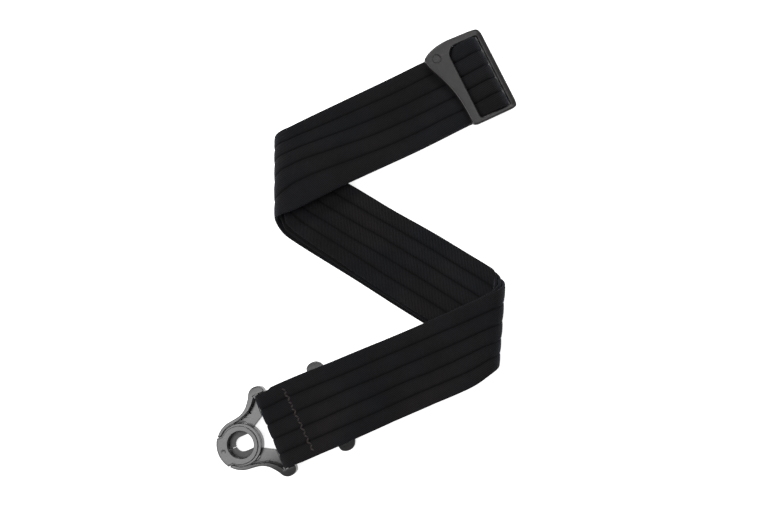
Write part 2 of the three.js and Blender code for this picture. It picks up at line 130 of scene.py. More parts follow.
def webbingMaterial():
    look = webbingLook
    material, tree, shader = nodeMaterial("ribbedWebbing")
    uv = addNode(tree, "ShaderNodeUVMap", uv_map="bandRun")
    split = addNode(tree, "ShaderNodeSeparateXYZ")
    tree.links.new(uv.outputs["UV"], split.inputs["Vector"])
    along = mathNode(tree, "MULTIPLY", split.outputs["X"], 1000.0)      # millimetres
    across = mathNode(tree, "MULTIPLY", split.outputs["Y"], 1000.0)

    # slanting twill ridges, broken up by the yarns that cross them
    wander = noiseOf(tree, uv.outputs["UV"], 260.0, 2.0)
    slant = mathNode(tree, "ADD", along, mathNode(tree, "MULTIPLY", across, look["twillSlant"]))
    slant = mathNode(tree, "ADD", slant, mathNode(tree, "MULTIPLY", wander, 0.75))
    ridges = mathNode(tree, "SINE", mathNode(tree, "MULTIPLY", slant, 2 * math.pi / look["twillPitch"]))
    yarns = mathNode(tree, "SINE", mathNode(tree, "MULTIPLY", across, 2 * math.pi / look["yarnPitch"]))
    crossing = mathNode(tree, "SINE", mathNode(tree, "MULTIPLY", along, 2 * math.pi / look["yarnPitch"]))
    weave = mathNode(tree, "ADD", mathNode(tree, "MULTIPLY", ridges, 0.6),
                     mathNode(tree, "MULTIPLY", mathNode(tree, "MULTIPLY", yarns, crossing), 0.4))
    weave = rangeOf(tree, mathNode(tree, "MULTIPLY", mathNode(tree, "ADD", weave, 1.0), 0.5), 0.0, 1.0)

    # cloth tone: weave, broad patches and the shade down in each groove
    patches = noiseOf(tree, uv.outputs["UV"], 22.0, 4.0, 0.6)
    tone = mathNode(tree, "ADD", mathNode(tree, "MULTIPLY", weave, 0.6),
                    mathNode(tree, "MULTIPLY", patches, 0.4))
    cloth = rampOf(tree, tone, [(0.35, look["yarn"]), (0.80, look["yarnLight"])])
    cast = rampOf(tree, noiseOf(tree, uv.outputs["UV"], 24.0, 3.0, 0.6),
                  [(0.38, look["coolCast"]), (0.64, look["warmCast"])])
    tinted = addNode(tree, "ShaderNodeMix", data_type="RGBA", blend_type="MULTIPLY")
    tinted.inputs[0].default_value = 1.0
    tree.links.new(cloth, tinted.inputs[6])
    tree.links.new(cast, tinted.inputs[7])
    cloth = tinted.outputs[2]
    # painted shade: the cloth colour darkens towards the groove shade colour by how far down in a groove each
    # place lies
    depth = addNode(tree, "ShaderNodeAttribute", attribute_name="paintedGrooveShadeAmount")
    mix = addNode(tree, "ShaderNodeMix", data_type="RGBA")
    tree.links.new(depth.outputs["Fac"], mix.inputs[0])
    tree.links.new(cloth, mix.inputs[6])
    mix.inputs[7].default_value = (*look["paintedGrooveShade"], 1)
    tree.links.new(mix.outputs[2], shader.inputs["Base Color"])

    fuzz = noiseOf(tree, uv.outputs["UV"], 3200.0, 2.0)
    low, high = look["roughness"]
    tree.links.new(rangeOf(tree, patches, low, high), shader.inputs["Roughness"])
    surface = bumpOf(tree, weave, 0.9, 0.00016)
    surface = bumpOf(tree, fuzz, 0.25, 0.00006, surface)
    tree.links.new(surface, shader.inputs["Normal"])
    shader.inputs["Specular IOR Level"].default_value = look["specular"]
    shader.inputs["Sheen Weight"].default_value = look["sheen"]
    shader.inputs["Sheen Roughness"].default_value = 0.45
    shader.inputs["Sheen Tint"].default_value = (0.62, 0.68, 0.85, 1)
    return material


def threadMaterial():
    material, tree, shader = nodeMaterial("sewingThread")
    place = addNode(tree, "ShaderNodeTexCoord")
    fibre = noiseOf(tree, place.outputs["Object"], 5200.0, 3.0)
    tree.links.new(rampOf(tree, fibre, [(0.3, (0.006, 0.0026, 0.0023)), (0.7, (0.019, 0.0082, 0.0070))]),
                   shader.inputs["Base Color"])
    twist = addNode(tree, "ShaderNodeTexWave", Scale=1500.0, Distortion=1.5)
    tree.links.new(place.outputs["Object"], twist.inputs["Vector"])
    tree.links.new(bumpOf(tree, twist.outputs["Fac"], 0.4, 0.00008), shader.inputs["Normal"])
    tree.links.new(rangeOf(tree, fibre, 0.55, 0.8), shader.inputs["Roughness"])
    shader.inputs["Sheen Weight"].default_value = 0.1
    return material


def mouldedMaterial(name, dark, light, roughness, specular=0.5, edgeWearAndHighlight=(0.11, 0.105, 0.108)):
    # satin moulded plastic: fine spark-eroded grain, faint flow clouds, and edges lighter, partly rubbed wear
    # and partly a painted highlight
    material, tree, shader = nodeMaterial(name)
    place = addNode(tree, "ShaderNodeTexCoord").outputs["Object"]
    clouds = noiseOf(tree, place, 140.0, 4.0, 0.55)
    base = rampOf(tree, clouds, [(0.3, dark), (0.7, light)])
    geometry = addNode(tree, "ShaderNodeNewGeometry")
    # convex edges lighter by how sharply they stand out: part rubbed wear, part a painted highlight along
    # them
    edge = rangeOf(tree, geometry.outputs["Pointiness"], -4.0, 5.0)
    rubbedAndLitEdges = mathNode(tree, "MULTIPLY", edge, noiseOf(tree, place, 900.0, 2.0))
    rubbedAndLitEdges.node.use_clamp = True
    edges = mathNode(tree, "MULTIPLY", rubbedAndLitEdges, 0.35)
    mix = addNode(tree, "ShaderNodeMix", data_type="RGBA")
    tree.links.new(edges, mix.inputs[0])
    tree.links.new(base, mix.inputs[6])
    mix.inputs[7].default_value = (*edgeWearAndHighlight, 1)
    tree.links.new(mix.outputs[2], shader.inputs["Base Color"])
    fine = noiseOf(tree, place, 2600.0, 3.0)
    scuff = noiseOf(tree, place, 420.0, 5.0, 0.65)
    low, high = roughness
    tree.links.new(rangeOf(tree, scuff, low, high), shader.inputs["Roughness"])
    surface = bumpOf(tree, fine, 0.3, 0.00006)
    surface = bumpOf(tree, clouds, 0.15, 0.0002, surface)
    tree.links.new(surface, shader.inputs["Normal"])
    shader.inputs["Specular IOR Level"].default_value = specular
    return material


def metalMaterial(name, dark, light, roughness):
    material, tree, shader = nodeMaterial(name)
    place = addNode(tree, "ShaderNodeTexCoord").outputs["Object"]
    drawn = noiseOf(tree, place, 1800.0, 3.0)
    tree.links.new(rampOf(tree, drawn, [(0.3, dark), (0.7, light)]), shader.inputs["Base Color"])
    tree.links.new(rangeOf(tree, drawn, *roughness), shader.inputs["Roughness"])
    tree.links.new(bumpOf(tree, drawn, 0.15, 0.00004), shader.inputs["Normal"])
    shader.inputs["Metallic"].default_value = 1.0
    return material


webbingCloth = webbingMaterial()
brownThread = threadMaterial()
# the last colour of each is the lighter edge colour, part rubbed wear and part painted highlight
lockGrey = mouldedMaterial("lockPlastic", (0.011, 0.0102, 0.0106), (0.018, 0.0168, 0.0176), (0.24, 0.33),
                           specular=0.66, edgeWearAndHighlight=(0.06, 0.057, 0.059))
innerDark = mouldedMaterial("innerPlastic", (0.012, 0.011, 0.012), (0.020, 0.019, 0.020), (0.42, 0.6),
                            edgeWearAndHighlight=(0.06, 0.06, 0.06))
sliderGrey = mouldedMaterial("sliderPlastic", (0.0072, 0.0064, 0.0064), (0.0115, 0.0102, 0.0102),
                             (0.26, 0.36), specular=0.36, edgeWearAndHighlight=(0.05, 0.045, 0.045))
springWire = metalMaterial("springWire", (0.45, 0.45, 0.46), (0.62, 0.62, 0.63), (0.22, 0.36))
zincPlate = metalMaterial("zincPlate", (0.30, 0.30, 0.31), (0.42, 0.42, 0.42), (0.30, 0.46))
print("materials ready")


# the folded band
# Millimetres from the first lock's bar. Along is u, across is v, and out is off the show face.

band = {
    "width": 50.8,
    "thickness": 2.4,
    "layerPitch": 2.7,
    "ribs": 5,
    "grooveFloor": 0.22,       # of the half thickness left in a groove
    "ribRoundness": 2.8,       # higher is flatter on top
    "grooveShade": 1.08,       # lower makes the shade in a groove wider
    "selvedge": 0.5,
    "pucker": 0.26,
    "loopPuff": 1.1,           # how the ribs swell on top of the slider's bar
    "wander": 0.60,            # how far a groove strays sideways
    "step": 2.2,
    "barStep": 0.75,
    "stitchSink": (0.5, 1.5),  # how deep the stitches pull the band in, and over what length
    "narrowing": -0.5,         # each side, where it rounds the first lock's bar
}
zFold = {
    "legOneAngle": 23.3,
    "rightCrease": 85.5,
    "leftCrease": 87.0,
    "rightPoint": (140.1, 65.8),
    "leftPoint": (6.5, 163.7),
    "leftSkew": (0.4, 0.058),  # how far the roll stands out, and more of it per millimetre up the crease
    "axisHeight": 8.5,
    "outerRadius": 7.3,
    "sliderAt": 507.6,
    "secondLock": 36.0,
    "settle": (28, 48),        # from past the left fold to before the slider the layers come down
    "restHeight": 10.0,        # outermost layer over the sewn tail
    "outerTo": 36,             # before the slider's bar, where each layer starts to turn about it
    "innerTo": 20,
    "sliderTurn": 6.0,         # outer and inner radius of the two turns about the slider's bar
    "sewnTurn": 3.3,
    "loopLoft": 0.75,          # how far the outer turn stands off towards the narrow rail
    "sewnHeight": 6.6,
    "windowTurn": 3.4,         # bend down through the second lock's window
}
barPlace = Vector(joints["lock_a_swing"]["pos_m"])
halfWidth = band["width"] / 2
halfThick = band["thickness"] / 2
sleeve = 2.2 + 0.3 + halfThick     # lock bar radius, clearance, half the band
topHeight = zFold["axisHeight"] + zFold["outerRadius"]
creaseLength = math.pi * zFold["outerRadius"]
sliderAt = zFold["sliderAt"]


def heading(degrees):
    return Vector((math.cos(math.radians(degrees)), math.sin(math.radians(degrees))))


class Fold:
    def __init__(self, point, creaseAngle, side, skew=(0, 0)):
        self.point = Vector(point)
        self.skew = skew
        self.crease = heading(creaseAngle)
        self.out = Vector((self.crease.y, -self.crease.x)) * side

    def turn(self, vector):
        return self.crease * vector.dot(self.crease) - self.out * vector.dot(self.out)


class Leg:
    def __init__(self, origin, along, across):
        self.origin = origin
        self.along = along
        self.across = across

    def at(self, u, v):
        return self.origin + self.along * u + self.across * v

    def over(self, fold):
        origin = fold.point + fold.turn(self.origin - fold.point) + fold.out * creaseLength
        return Leg(origin, fold.turn(self.along), fold.turn(self.across))

    def reach(self, fold, past):
        return (past - (self.origin - fold.point).dot(fold.out)) / self.along.dot(fold.out)


rightFold = Fold(zFold["rightPoint"], zFold["rightCrease"], 1)
leftFold = Fold(zFold["leftPoint"], zFold["leftCrease"], -1, zFold["leftSkew"])
legOne = Leg(Vector((0, 0)), heading(zFold["legOneAngle"]), heading(zFold["legOneAngle"] + 90))
legTwo = legOne.over(rightFold)
legThree = legTwo.over(leftFold)
rightStart, rightEnd = legOne.reach(rightFold, 0), legOne.reach(rightFold, creaseLength)
leftStart, leftEnd = legTwo.reach(leftFold, 0), legTwo.reach(leftFold, creaseLength)
settleStart, settleEnd = leftEnd + zFold["settle"][0], sliderAt - zFold["settle"][1]

outerLayer = {"rank": 0, "depth": 0.0, "showOut": 1, "creep": 0.0}
middleLayer = {"rank": 1, "depth": band["layerPitch"], "showOut": 1, "creep": 0.5}
innerLayer = {"rank": 2, "depth": 2 * band["layerPitch"], "showOut": -1, "creep": 1.0}
creepKeys = [
    (rightStart - 40, 0.0), (rightStart, 0.8), (rightEnd, 2.6), (rightEnd + 30, 3.6),
    (leftStart, 0.4), (leftEnd, 0.2), (leftEnd + 40, 0.0),
]


def smoothStep(value, low, high):
    share = min(1.0, max(0.0, (value - low) / (high - low)))
    return share * share * (3 - 2 * share)


def creepAt(u):
    if u <= creepKeys[0][0] or u >= creepKeys[-1][0]:
        return 0.0
    for (u0, a), (u1, b) in zip(creepKeys, creepKeys[1:]):
        if u <= u1:
            return a + (b - a) * smoothStep(u, u0, u1)
    return 0.0


# where an edge is drawn in: along, side, how far, over what length, and how much of it each layer takes
edgeDraws = [
    (150, -1, 4.0, 13, (1, 1, 1)),
    (338, -1, 3.0, 10, (1, 0.9, 0.8)),
    (366, 1, 0.4, 9, (1, 1, 1)),
    (24, 1, -1.6, 22, (1, 0, 0)),
    (186, 1, -2.0, 15, (0.8, 1.1, 0.3)),
    (336, -1, 3.2, 14, (0, 0.5, 1)),
    (70, 1, -0.6, 25, (1, 0.5, 0.5)),
    (318, -1, 4.6, 52, (0, 0.45, 1)),
    (36, -1, -0.6, 24, (1, 1, 1)),
    (36, 1, -0.4, 24, (0, 1, 1)),
]
ribCrowding = {"at": 366, "before": 19, "after": 43, "far": 8.0}


def drawnIn(u, side, rank):
    draw = sum(far * share[rank] * math.exp(-((u - at) / over) ** 2)
               for at, which, far, over, share in edgeDraws if which == side)
    return draw + 0.45 * noise.noise(Vector((u * 0.028, side * 4.0, rank * 6.0)))


def ribShift(u, across):
    # past the left fold the ribs crowd towards the upper edge
    over = ribCrowding["before"] if u < ribCrowding["at"] else ribCrowding["after"]
    share = math.exp(-((u - ribCrowding["at"]) / over) ** 2)
    return ribCrowding["far"] * share * (1 - across * across) * (1 - 0.6 * across) / 1.2


def widthAt(u):
    return halfWidth - band["narrowing"] * (1 - smoothStep(abs(u), 4, 26))


def passStation(layer, u, sink):
    # where a layer's cross-section lies on its way through the two folds
    half = widthAt(u) if layer["depth"] == 0 else halfWidth
    creep = creepAt(u) * layer["creep"]

    def place(v, out):
        side = 1 if v > 0 else -1
        v = v * (1 - drawnIn(u, side, layer["rank"]) / half) + creep
        radius = zFold["outerRadius"] - layer["depth"] + out * layer["showOut"]
        for leg, fold, rising in ((legOne, rightFold, 1), (legTwo, leftFold, -1)):
            plan = leg.at(u, v)
            past = (plan - fold.point).dot(fold.out)
            if past <= 0:
                return Vector((plan.x, plan.y, zFold["axisHeight"] + rising * radius))
            if past < creaseLength:
                angle = past / zFold["outerRadius"]
                upCrease = (plan - fold.point).dot(fold.crease)
                bulge = fold.skew[0] + fold.skew[1] * upCrease
                spot = fold.point + fold.out * ((radius + bulge) * math.sin(angle)) + fold.crease * upCrease
                return Vector((spot.x, spot.y, zFold["axisHeight"] + rising * radius * math.cos(angle)))
        plan = legThree.at(u, v)
        fall = sink * smoothStep(u, settleStart, settleEnd)
        return Vector((plan.x, plan.y, zFold["axisHeight"] + radius - fall))

    return {"place": place, "half": half, "u": u, "layer": layer}


def passRun(layer, start, end, sink):
    count = max(2, round(abs(end - start) / band["step"]))
    return [passStation(layer, start + (end - start) * i / count, sink) for i in range(count + 1)]


def arcRun(u, z, radius, fromAngle, toAngle):
    # points round a bar, angles from +u towards +z
    count = max(4, math.ceil(abs(toAngle - fromAngle) / 9))
    angles = [math.radians(fromAngle + (toAngle - fromAngle) * i / count) for i in range(count + 1)]
    return [Vector((u + radius * math.cos(a), z + radius * math.sin(a))) for a in angles]


def evenRun(points, step):
    # the same line with its points an even step apart
    laid, left = [points[0]], step
    for a, b in zip(points, points[1:]):
        length, done = (b - a).length, 0.0
        while length - done >= left:
            done += left
            laid.append(a.lerp(b, done / length))
            left = step
        left -= length - done
    if (laid[-1] - points[-1]).length < step * 0.4:
        laid.pop()
    return laid + [points[-1]]


def profileRun(leg, points, half=None, rounds=3):
    # stations along a line drawn in the leg's own upright plane, its corners eased
    line = evenRun(points, band["barStep"])
    for _ in range(rounds):
        eased = [a * 0.25 + b * 0.5 + c * 0.25 for a, b, c in zip(line, line[1:], line[2:])]
        line = [line[0]] + eased + [line[-1]]
    run = []
    for i, point in enumerate(line):
        ahead = line[min(i + 1, len(line) - 1)] - line[max(i - 1, 0)]
        normal = Vector((-ahead.y, ahead.x)).normalized()

        def place(v, out, point=point, normal=normal):
            plan = leg.at(point.x + normal.x * out, v)
            return Vector((plan.x, plan.y, point.y + normal.y * out))

        reach = widthAt(point.x) if half is None else half
        run.append({"place": place, "half": reach, "u": point.x, "layer": None, "facing": normal.y})
    return run


def bandStations():
    # the whole band in order, from its first end to its sewn tail
    middleHeight = topHeight - middleLayer["depth"]
    innerHeight = topHeight - innerLayer["depth"]
    barA = barPlace.z / mm
    barB = joints["lock_b_swing"]["pos_m"][2] / mm
    slideBar = joints["slider_tilt"]["pos_m"][2] / mm
    outerTo, innerTo = sliderAt - zFold["outerTo"], sliderAt - zFold["innerTo"]
    bottom, sewn = slideBar - zFold["sliderTurn"], slideBar - zFold["sewnTurn"]

    # round the first lock's bar
    tail = [Vector((20, middleHeight)), Vector((9.6, middleHeight))]
    tail += arcRun(0, barA, sleeve, -61.1, -270) + [Vector((6, topHeight))]

    # over the slider's bar, a little higher towards its narrow rail
    overBar = [Vector((outerTo, zFold["restHeight"]))]
    overBar += [Vector((sliderAt - 30, 9.3)), Vector((sliderAt - 13, 9.3))]
    for point in arcRun(0, 0, 1, 107.9, -90):
        angle = math.degrees(math.atan2(point.y, point.x))
        loft = zFold["loopLoft"] * smoothStep(-angle, -100, -35) * smoothStep(angle, -85, -35)
        overBar.append(Vector((sliderAt, slideBar)) + point * (zFold["sliderTurn"] + loft))
    overBar.append(Vector((innerTo, bottom)))

    # down through the second lock's window and round its bar
    lockB, turn = zFold["secondLock"], zFold["windowTurn"]
    windowAt = lockB + sleeve
    window = [Vector((windowAt + turn + 4, innerHeight))]
    window += arcRun(windowAt + turn, innerHeight - turn, turn, 90, 180)
    window += arcRun(lockB, barB, sleeve, 0, -234.5)
    window += [Vector((41, middleHeight)), Vector((46, middleHeight))]

    # round the slider's bar from beneath, to the sewn end
    loop = [Vector((innerTo, sewn))] + arcRun(sliderAt, slideBar, zFold["sewnTurn"], -90, 107.4)
    loop += [Vector((sliderAt - 13, zFold["sewnHeight"])), Vector((sliderAt - 42, zFold["sewnHeight"]))]
    runs = [
        profileRun(legOne, tail, rounds=4),
        passRun(outerLayer, 6, outerTo, topHeight - zFold["restHeight"]),
        profileRun(legThree, overBar, halfWidth),
        passRun(innerLayer, innerTo, windowAt + turn + 4, innerHeight - bottom),
        profileRun(legOne, window, halfWidth, rounds=2),
        passRun(middleLayer, 46, innerTo, middleHeight - sewn),
        profileRun(legThree, loop, halfWidth, rounds=2),
    ]
    return runs[0] + [station for run in runs[1:] for station in run[1:]]


def sectionSamples():
    # places across one rib, closer together beside its grooves
    shares = [0.0, 0.035, 0.09, 0.19, 0.34, 0.5, 0.66, 0.81, 0.91, 0.965]
    ribs = band["ribs"]
    return [-1 + 2 * (rib + share) / ribs for rib in range(ribs) for share in shares] + [1.0]


def ribHeight(across):
    # half thickness at a place across the band, from 1 on a rib's crown down to the groove's floor, and the
    # share of painted groove shade the place takes
    if abs(across) > 0.9999:
        return band["selvedge"], 0.15
    share = ((across + 1) / 2 * band["ribs"]) % 1.0
    fall = abs(2 * share - 1)
    isEdge = abs(across) > 1 - 1 / band["ribs"] and (across > 0) == (share > 0.5)
    floor = band["selvedge"] if isEdge else band["grooveFloor"]
    crown = math.sqrt(max(0.0, 1 - fall ** band["ribRoundness"]))
    # how much painted shade the colour takes here, more the further down in a groove
    depth = 0.0 if isEdge else max(0.0, 1 - crown * band["grooveShade"])
    return floor + (1 - floor) * crown, depth


def stitchLine(v):
    # the row that closes the loop round the bar, a little closer to it at the upper edge
    return 16.4 - 0.045 * v


def buildBand():
    stations = bandStations()
    samples = sectionSamples()
    backFace = 0.06                # the back face lies beside the show face on the UV map
    sink, sinkOver = band["stitchSink"]
    middles = [station["place"](0, 0) for station in stations]
    lengths = [0.0]
    for a, b in zip(middles, middles[1:]):
        lengths.append(lengths[-1] + (b - a).length)
    mesh = bmesh.new()
    paintedGrooveShade = mesh.verts.layers.float.new("paintedGrooveShadeAmount")
    uvLayer = mesh.loops.layers.uv.new("bandRun")
    rings, rows = [], []
    for station, run in zip(stations, lengths):
        ring, row = [], []
        half, place = station["half"], station["place"]
        onTop = station["layer"] is outerLayer
        for face in (1, -1):
            for across in samples if face > 0 else reversed(samples):
                height, depth = ribHeight(across)
                rib = math.floor((across + 1) / 2 * band["ribs"] * 0.9999)
                wave = noise.noise(Vector((run * 0.075, rib * 7.3, face * 3.1)))
                ruffle = noise.noise(Vector((run * 0.33, rib * 3.7 + 40, face * 9.0)))
                height *= 1 - band["pucker"] * (0.5 + 0.5 * wave + 0.35 * ruffle) * (1 - depth)
                drift = noise.noise(Vector((run * 0.036, across * 2.3, 5.0)))
                drift = band["wander"] * (drift + 0.35 * noise.noise(Vector((run * 0.16, across * 3.1, 9.0))))
                v = across * half + drift * (1 - across * across)
                if onTop:
                    v += ribShift(station["u"], across)
                if station["u"] > sliderAt - 14 and face * station.get("facing", 0) > 0.5:
                    height *= 1 + band["loopPuff"] * (face * station["facing"] - 0.5) * (height - 0.3)
                if onTop and face > 0 and abs(across) < 0.9:
                    height -= sink * math.exp(-((station["u"] - stitchLine(v)) / sinkOver) ** 2)
                vertex = mesh.verts.new(place(v, face * height * halfThick))
                # the painted groove shade this place takes, for the material
                vertex[paintedGrooveShade] = depth
                ring.append(vertex)
                row.append((run * mm, across * halfWidth * mm + (backFace if face < 0 else 0)))
            edge = 1 if face > 0 else -1
            vertex = mesh.verts.new(place(edge * (half + 0.05), 0))
            ring.append(vertex)
            row.append((run * mm, edge * (halfWidth + 0.6) * mm + (backFace if edge < 0 else 0)))
        rings.append(ring)
        rows.append(row)
    count = len(rings[0])
    for i in range(len(rings) - 1):
        for k in range(count):
            n = (k + 1) % count
            face = mesh.faces.new((rings[i][k], rings[i + 1][k], rings[i + 1][n], rings[i][n]))
            spots = (rows[i][k], rows[i + 1][k], rows[i + 1][n], rows[i][n])
            wrap = abs(spots[0][1] - spots[2][1]) > backFace / 3
            for loop, spot in zip(face.loops, spots):
                flip = backFace if wrap and spot[1] < backFace / 2 else 0
                loop[uvLayer].uv = (spot[0], spot[1] + flip)
            face.smooth = True
    for ring in (rings[0], rings[-1]):
        mesh.faces.new(ring)
    bmesh.ops.recalc_face_normals(mesh, faces=mesh.faces)
    data = bpy.data.meshes.new("ribbed_webbing")
    mesh.to_mesh(data)
    mesh.free()
    data.transform(Matrix.Translation((barPlace.x, barPlace.y, 0)) @ Matrix.Scale(mm, 4))
    piece = collectionLink(bpy.data.objects.new("ribbed_webbing", data))
    piece.data.materials.append(webbingCloth)
    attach(piece, "strap")
    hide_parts("webbing")
    length = lengths[-1] * mm
    return length


bandLength = buildBand()
print("band laid", round(bandLength, 3), "m")


# stitching
stitching = {
    "pitch": 2.4,
    "swing": 1.7,
    "thread": 0.30,            # radius
    "rise": 0.16,
    "dip": 0.55,               # how far a stitch's ends go down into the band
    "reach": 22.5,
    "pairGap": 0.5,
    "sliderRow": 38,           # before the slider's bar
}


def threadMesh(name, leg, u, height):
    curve = bpy.data.curves.new(name, "CURVE")
    curve.dimensions = "3D"
    curve.bevel_depth = stitching["thread"] * mm
    curve.bevel_resolution = 2
    curve.resolution_u = 4
    count = round(2 * stitching["reach"] / stitching["pitch"])
    for row in (0, 1):
        for i in range(count):
            v0 = -stitching["reach"] + i * stitching["pitch"]
            v1 = v0 + stitching["pitch"] * 0.94
            jitter = 0.25 * noise.noise(Vector((i * 0.9, row * 3.0, 1.7)))
            lean = stitching["swing"] * (1 if i % 2 else -1)
            ends = [(u(v0) - lean * 0.5 + jitter, v0), (u(v1) + lean * 0.5 + jitter, v1)]
            spline = curve.splines.new("BEZIER")
            spline.bezier_points.add(2)
            top = ((ends[0][0] + ends[1][0]) / 2, (v0 + v1) / 2, stitching["rise"])
            knots = [(*ends[0], -stitching["dip"]), top, (*ends[1], -stitching["dip"])]
            for point, (a, v, z) in zip(spline.bezier_points, knots):
                plan = leg.at(a + row * stitching["pairGap"], v)
                point.co = (plan.x * mm + barPlace.x, plan.y * mm + barPlace.y, (height + z) * mm)
                point.handle_left_type = point.handle_right_type = "AUTO"
    shape = collectionLink(bpy.data.objects.new(name, curve))
    bpy.context.view_layer.update()
    data = bpy.data.meshes.new_from_object(shape.evaluated_get(bpy.context.evaluated_depsgraph_get()))
    data.name = name
    bpy.data.objects.remove(shape)
    piece = collectionLink(bpy.data.objects.new(name, data))
    data.materials.clear()
    data.materials.append(brownThread)
    for polygon in data.polygons:
        polygon.use_smooth = True
    return piece


for threadName, node, leg, u, height in (
    ("lock_end_stitching", "stitch_row_lock", legOne, stitchLine, topHeight + halfThick - 0.5),
    ("slider_end_stitching", "stitch_row_slider", legThree, lambda v: sliderAt - stitching["sliderRow"],
     zFold["sewnHeight"] + halfThick - 0.1),
):
    thread = threadMesh(threadName, leg, u, height)
    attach(thread, "strap")
    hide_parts(node)
print("stitching sewn")


# moulded plates
def arcPoints(radius, fromAngle, toAngle, count, x=0.0, y=0.0):
    angles = [math.radians(fromAngle + (toAngle - fromAngle) * i / count) for i in range(count + 1)]
    return [(x + radius * math.cos(a), y + radius * math.sin(a)) for a in angles]


def circle(radius, x=0.0, y=0.0, count=64):
    return arcPoints(radius, 0, 360, count, x, y)[:-1]


def splineThrough(points, each=6):
    # a smooth line through the points
    padded = [points[0]] + list(points) + [points[-1]]
    line = []
    for a, b, c, d in zip(padded, padded[1:], padded[2:], padded[3:]):
        for i in range(each):
            t = i / each
            line.append(tuple(
                0.5 * (2 * q + (r - p) * t + (2 * p - 5 * q + 4 * r - s) * t * t
                       + (3 * q - p - 3 * r + s) * t ** 3)
                for p, q, r, s in zip(a, b, c, d)))
    return line + [tuple(points[-1])]


def roundCorners(points, radius, count=5):
    # the closed outline with each corner turned on an arc-like curve
    line = []
    total = len(points)
    for i, corner in enumerate(points):
        before, after = Vector(points[i - 1]), Vector(points[(i + 1) % total])
        here = Vector(corner)
        r = radius[i] if isinstance(radius, (list, tuple)) else radius
        a = here + (before - here).normalized() * min(r, (before - here).length * 0.49)
        b = here + (after - here).normalized() * min(r, (after - here).length * 0.49)
        for k in range(count + 1):
            t = k / count
            line.append(tuple(a * (1 - t) ** 2 + here * 2 * t * (1 - t) + b * t * t))
    return line


def mirrorY(points):
    return [(x, -y) for x, y in reversed(points)]


def rectangle(left, right, low, high):
    return [(left, low), (right, low), (right, high), (left, high)]


def plate(outlines, low, high, bevel, turns=3):
    # a flat plate of the first outline with the others cut out, every edge rounded
    curve = bpy.data.curves.new("plate", "CURVE")
    curve.dimensions = "2D"
    curve.fill_mode = "BOTH"
    curve.extrude = (high - low) / 2 - bevel
    curve.bevel_depth = bevel
    curve.bevel_resolution = turns
    curve.offset = -bevel
    for outline in outlines:
        spline = curve.splines.new("POLY")
        spline.points.add(len(outline) - 1)
        for point, (x, y) in zip(spline.points, outline):
            point.co = (x, y, 0, 1)
        spline.use_cyclic_u = True
    shape = collectionLink(bpy.data.objects.new("plate", curve))
    bpy.context.view_layer.update()
    data = bpy.data.meshes.new_from_object(shape.evaluated_get(bpy.context.evaluated_depsgraph_get()))
    bpy.data.objects.remove(shape)
    bpy.data.curves.remove(curve)
    data.transform(Matrix.Translation((0, 0, (low + high) / 2)))
    cleaned = bmesh.new()
    cleaned.from_mesh(data)
    bmesh.ops.remove_doubles(cleaned, verts=cleaned.verts, dist=1e-4)
    bmesh.ops.recalc_face_normals(cleaned, faces=cleaned.faces)
    cleaned.to_mesh(data)
    cleaned.free()
    return collectionLink(bpy.data.objects.new("plate", data))


def cutter(outline, low, high, edge=0.05):
    # a plain solid of one outline, mostly to leave a room or a seam behind
    return plate([outline], low, high, edge, 1)


def rod(radius, start, end, sides=24):
    shape = bmesh.new()
    length = (Vector(end) - Vector(start)).length
    bmesh.ops.create_cone(shape, cap_ends=True, segments=sides, radius1=radius, radius2=radius, depth=length)
    turn = (Vector(end) - Vector(start)).to_track_quat("Z", "Y").to_matrix().to_4x4()
    shape.transform(Matrix.Translation((Vector(start) + Vector(end)) / 2) @ turn)
    data = bpy.data.meshes.new("rod")
    shape.to_mesh(data)
    shape.free()
    return collectionLink(bpy.data.objects.new("rod", data))


def combine(first, others, operation):
    # boolean join or cut, one after another, with the tools removed
    for other in others:
        modifier = first.modifiers.new("cut", "BOOLEAN")
        modifier.operation = operation
        modifier.solver = "EXACT"
        modifier.object = other
        bpy.context.view_layer.update()
        data = bpy.data.meshes.new_from_object(first.evaluated_get(bpy.context.evaluated_depsgraph_get()))
        first.modifiers.clear()
        first.data = data
        bpy.data.objects.remove(other)
    return first


def finishPiece(piece, name, material, place, body, replaced):
    piece.name = name
    piece.data.name = name
    piece.data.transform(place @ Matrix.Scale(mm, 4))
    piece.data.materials.clear()
    piece.data.materials.append(material)
    for polygon in piece.data.polygons:
        polygon.use_smooth = True
    piece.data.set_sharp_from_angle(angle=math.radians(35))
    even = piece.modifiers.new("evenShading", "WEIGHTED_NORMAL")
    even.keep_sharp = True
    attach(piece, body)
    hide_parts(*replaced)
    return piece


# the locking ends
# Each lock's own axes: origin on the bore at the back face, +x towards the bar, +z out of the cap.

